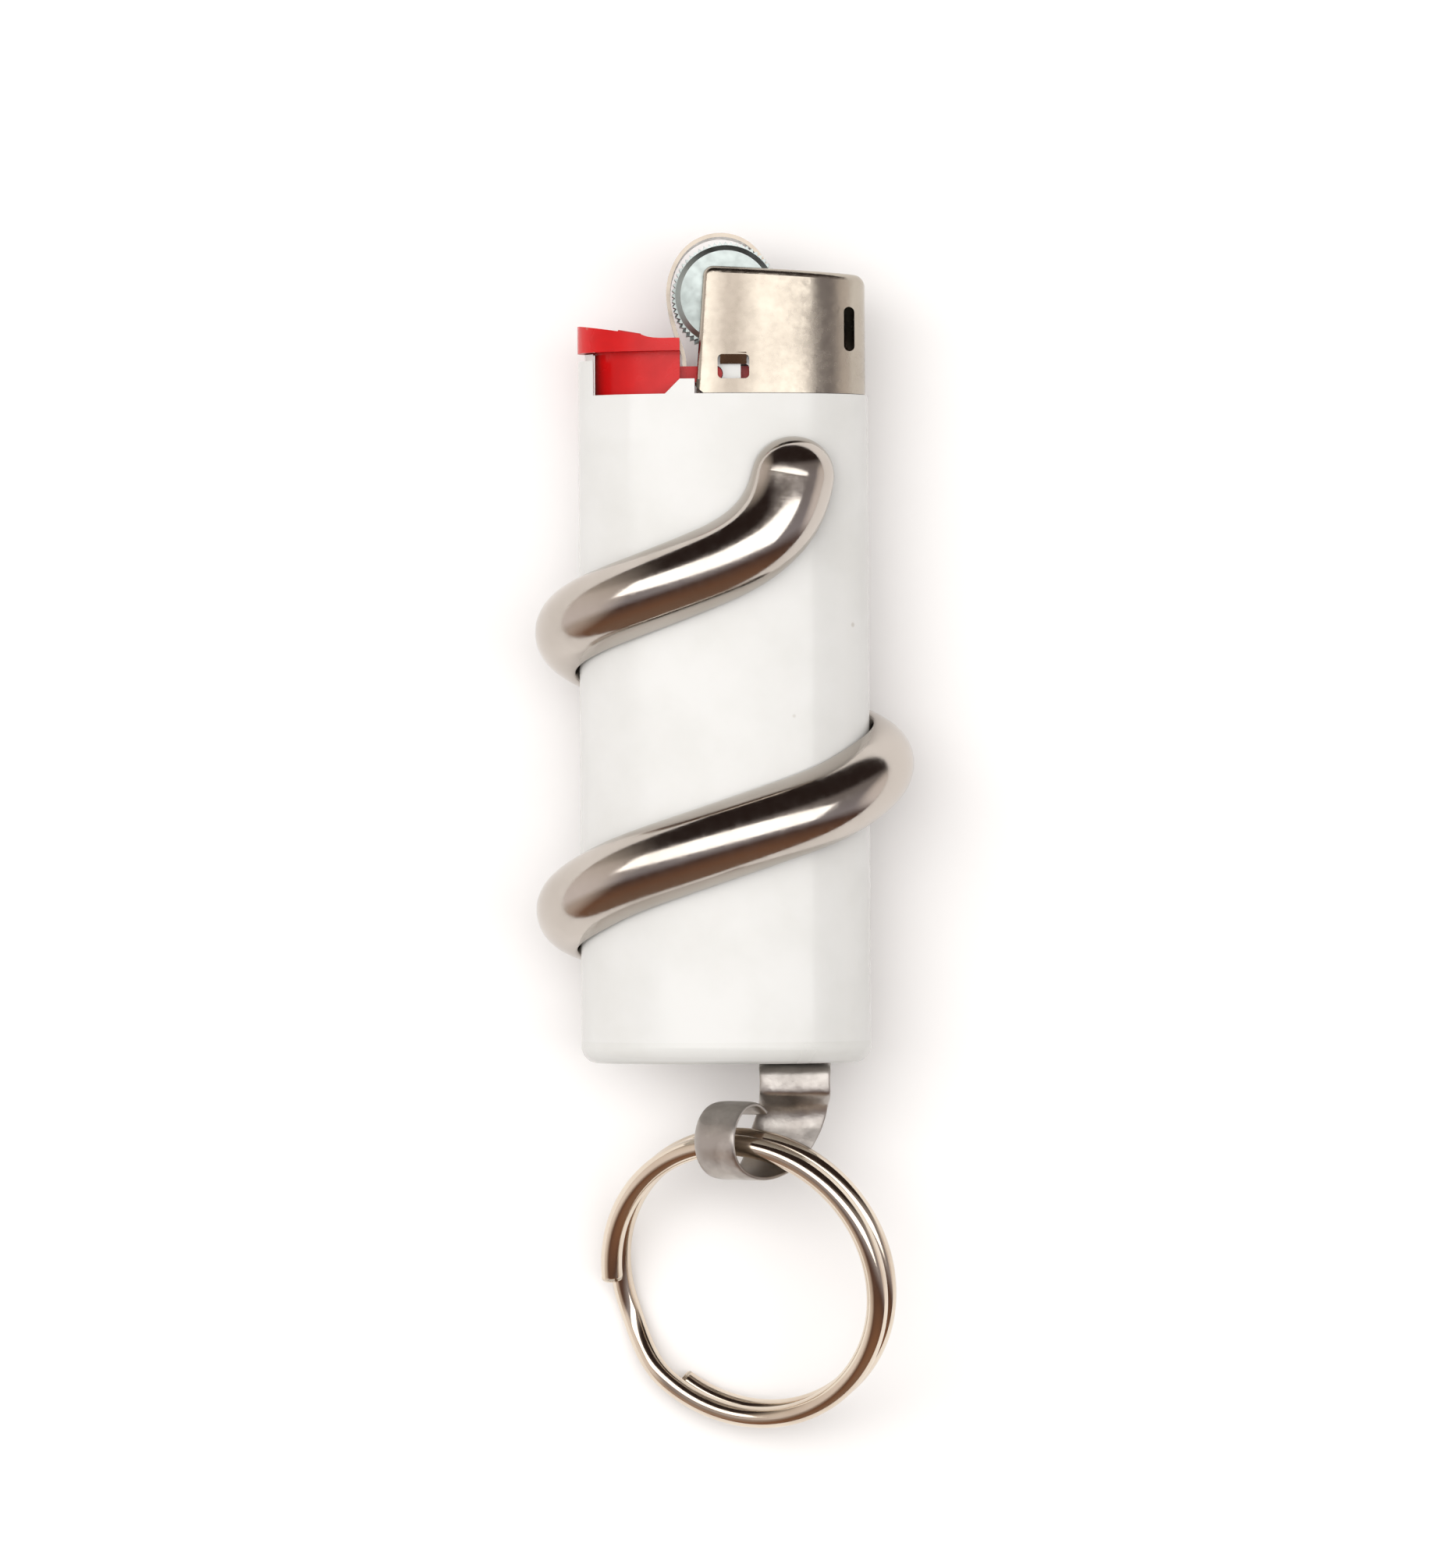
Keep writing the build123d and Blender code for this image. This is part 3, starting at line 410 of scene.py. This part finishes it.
def outline(half, thick, box):
    """The bar's section: a convex outer side and a nearly flat inner side, once round."""
    edge = min(EDGE, 0.5 * thick, 0.6 * half)
    points = []
    sides = ((1, thick - edge, box, OUTER_POINTS), (-1, -edge, FLAT_BOX, INNER_POINTS))
    for side, depth, power, count in sides:
        for step in range(count):
            angle = pi * step / count
            reach = abs(cos(angle)) ** (2 / power)
            x = side * half * (reach if 2 * step < count else -reach)
            points.append((x, edge + depth * sin(angle) ** (2 / power)))
    return points


def skin(name, loops, attributes=()):
    """Closed mesh over a row of equal loops of points, with smooth shading.

    attributes are pairs of a name and one number for each loop.
    """
    count = len(loops[0])
    vertices = [point for loop in loops for point in loop]
    faces = []
    for row in range(len(loops) - 1):
        for k in range(count):
            near, far = row * count, (row + 1) * count
            faces.append((near + k, near + (k + 1) % count, far + (k + 1) % count, far + k))
    faces.append(tuple(reversed(range(count))))
    faces.append(tuple(range((len(loops) - 1) * count, len(loops) * count)))
    mesh = bpy.data.meshes.new(name)
    mesh.from_pydata(vertices, [], faces)
    mesh.validate()
    for label, values in attributes:
        layer = mesh.attributes.new(label, "FLOAT", "POINT")
        layer.data.foreach_set("value", [values[row] for row in range(len(loops)) for k in range(count)])
    mesh.polygons.foreach_set("use_smooth", [len(face.vertices) == 4 for face in mesh.polygons])
    made = bpy.data.objects.new(name, mesh)
    bpy.context.collection.objects.link(made)
    return made


loops = []
for index, row in enumerate(stations):
    point, outward = Vector(row[0:3]), Vector(row[3:6]).normalized()
    ahead = Vector(stations[min(index + 1, len(stations) - 1)][0:3])
    behind = Vector(stations[max(index - 1, 0)][0:3])
    run = (ahead - behind).normalized()
    normal = (outward - run * outward.dot(run)).normalized()
    aside = normal.cross(run)
    loops.append([at(*(point + aside * x + normal * y)) for x, y in outline(*row[6:9])])
worked = [row[9] for row in stations]
bar_piece = skin("wrapped_bar", loops, [("worked", worked)])
bar_piece.data.materials.append(finishes["holder_steel"].material)
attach(bar_piece, "holder")
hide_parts("holder_bar", "holder_eye")

# --- smooth split ring ---------------------------------------------------------------
WIRE_R = 0.8         # radius of the wire
WIRE_POINTS = 32     # points round the wire
RING_R = 10.76       # radius of the wire's middle line
RING_PITCH = 1.7     # between the two turns
RING_START = 187     # angle of the first end, in degrees
RING_SWEEP = 669     # angle that the wire covers
CRANK_START = -126   # where the wire starts to step to the other turn
CRANK_SWEEP = 34
RING_STEPS = 640
RING_SMOOTHINGS = 10
END_R = 0.2          # rounding of the wire's ends
END_STEPS = 4
ring_normal = Vector((-0.384, -0.270, 0.883)).normalized()
ring_x = (Vector((1, 0, 0)) - ring_normal * ring_normal.x).normalized()
ring_y = ring_normal.cross(ring_x)
ring_centre = Vector((1.53, -16.25, -2.62))


def smoothstep(share):
    """Eases from 0 to 1."""
    return share * share * (3 - 2 * share)


wire = []
for step in range(RING_STEPS + 1):
    angle = RING_START - RING_SWEEP * step / RING_STEPS
    stepped = smoothstep(min(max((CRANK_START - angle) / CRANK_SWEEP, 0), 1))
    round_way = ring_x * (RING_R * cos(radians(angle))) + ring_y * (RING_R * sin(radians(angle)))
    wire.append(ring_centre + round_way + ring_normal * (RING_PITCH * (0.5 - stepped)))
for passes in range(RING_SMOOTHINGS):
    wire = [wire[0]] + [(a + b * 2 + c) / 4 for a, b, c in zip(wire, wire[1:], wire[2:])] + [wire[-1]]
loops = []
for index, point in enumerate(wire):
    run = (wire[min(index + 1, RING_STEPS)] - wire[max(index - 1, 0)]).normalized()
    side = (ring_normal - run * ring_normal.dot(run)).normalized() * WIRE_R
    other = run.cross(side)
    turns = [2 * pi * k / WIRE_POINTS for k in range(WIRE_POINTS)]
    loops.append([at(*(point + side * cos(turn) + other * sin(turn))) for turn in turns])
for end, inward in ((0, 1), (-1, -1)):
    run = (wire[1] - wire[0] if end == 0 else wire[-1] - wire[-2]).normalized() * inward
    inset = run * END_R * MM
    centre = sum(loops[end], Vector()) / WIRE_POINTS
    rounded = []
    for step in range(1, END_STEPS + 1):
        turn = pi / 2 * step / END_STEPS
        shrink = (WIRE_R - END_R + END_R * cos(turn)) / WIRE_R
        middle = centre + inset * (1 - sin(turn))
        rounded.append([middle + (corner - centre) * shrink for corner in loops[end]])
    loops[end] = [corner + inset for corner in loops[end]]
    loops = rounded[::-1] + loops if end == 0 else loops + rounded
ring_piece = skin("ring_wire", loops)
ring_piece.data.materials.append(finishes["ring_steel"].material)
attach(ring_piece, "ring")
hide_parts("split_ring")

# --- floor and light -----------------------------------------------------------------
REACH = 2            # half width of the floor, in metres
floor_mesh = bpy.data.meshes.new("floor")
corners = [(-REACH, -REACH, 0), (REACH, -REACH, 0), (REACH, REACH, 0), (-REACH, REACH, 0)]
floor_mesh.from_pydata(corners, [], [(0, 1, 2, 3)])
floor = bpy.data.objects.new("floor", floor_mesh)
bpy.context.collection.objects.link(floor)
paper = Finish("paper", Roughness=0.9, Specular_IOR_Level=0.1)
paper.colour(paper.mix(paper.noise(60, 3), (0.93, 0.915, 0.91), (0.90, 0.885, 0.88)))
floor_mesh.materials.append(paper.material)


def softbox(name, place, aim, width, depth, power, tint, spin=0.0):
    """Rectangular light at a place, facing a point."""
    lamp = bpy.data.lights.new(name, "AREA")
    lamp.shape = "RECTANGLE"
    lamp.size = width
    lamp.size_y = depth
    lamp.energy = power
    lamp.color = tint
    item = bpy.data.objects.new(name, lamp)
    look = (Vector(aim) - Vector(place)).to_track_quat("-Z", "Y")
    item.rotation_euler = (look @ Quaternion((0, 0, 1), spin)).to_euler()
    item.location = place
    bpy.context.collection.objects.link(item)
    return item


softbox("overhead", (-0.05, 0.13, 1.0), (-0.05, 0.13, 0), 2.0, 0.56, 8.0, (1.0, 0.99, 0.97), radians(-12))
fill = softbox("fill", (-0.55, 0.25, 1.3), (0, 0, 0), 1.8, 1.8, 10.0, (1.0, 0.99, 0.985))
fill.visible_glossy = False  # it lights the object but is not seen in reflections

world = bpy.data.worlds.new("studio")
bpy.context.scene.world = world
world.use_nodes = True
tree = world.node_tree
background = tree.nodes["Background"]
direction = tree.nodes.new("ShaderNodeTexCoord").outputs["Generated"]
apart = tree.nodes.new("ShaderNodeSeparateXYZ")
tree.links.new(direction, apart.inputs[0])


def by_direction(value, stops):
    """Colour along one direction of the room; stops are at -1 to 1."""
    spread = tree.nodes.new("ShaderNodeMapRange")
    spread.inputs["From Min"].default_value = -1
    tree.links.new(value, spread.inputs["Value"])
    ramp = tree.nodes.new("ShaderNodeValToRGB")
    while len(ramp.color_ramp.elements) < len(stops):
        ramp.color_ramp.elements.new(0.5)
    for element, (place, tint) in zip(ramp.color_ramp.elements, stops):
        element.position = (place + 1) / 2
        element.color = (*tint, 1)
    tree.links.new(spread.outputs[0], ramp.inputs[0])
    return ramp.outputs[0]


length_way = by_direction(apart.outputs["Y"], [(-1.0, (0.26, 0.16, 0.11)), (-0.8, (0.24, 0.12, 0.07)),
                                               (-0.5, (0.11, 0.06, 0.045)), (-0.28, (0.36, 0.33, 0.35)),
                                               (0.4, (0.25, 0.22, 0.21)), (0.56, (0.03, 0.018, 0.015)),
                                               (1.0, (0.028, 0.018, 0.015))])
width_way = by_direction(apart.outputs["X"], [(-1.0, (0.62, 0.57, 0.53)), (-0.8, (0.5, 0.45, 0.4)),
                                              (-0.55, (0, 0, 0)), (0.9, (0, 0, 0)),
                                              (0.97, (0.55, 0.5, 0.45)), (1.0, (0.6, 0.55, 0.5))])
both = tree.nodes.new("ShaderNodeMix")
both.data_type = "RGBA"
both.blend_type = "ADD"
both.inputs[MIX_SHARE].default_value = 1.0
tree.links.new(length_way, both.inputs[MIX_FIRST])
tree.links.new(width_way, both.inputs[MIX_SECOND])
# reflections see the banded room, and all other light comes from an even pale grey one
room = tree.nodes.new("ShaderNodeMix")
room.data_type = "RGBA"
room.inputs[MIX_FIRST].default_value = (0.5, 0.485, 0.475, 1)
tree.links.new(tree.nodes.new("ShaderNodeLightPath").outputs["Is Glossy Ray"], room.inputs[MIX_SHARE])
tree.links.new(both.outputs[MIX_RESULT], room.inputs[MIX_SECOND])
tree.links.new(room.outputs[MIX_RESULT], background.inputs["Color"])
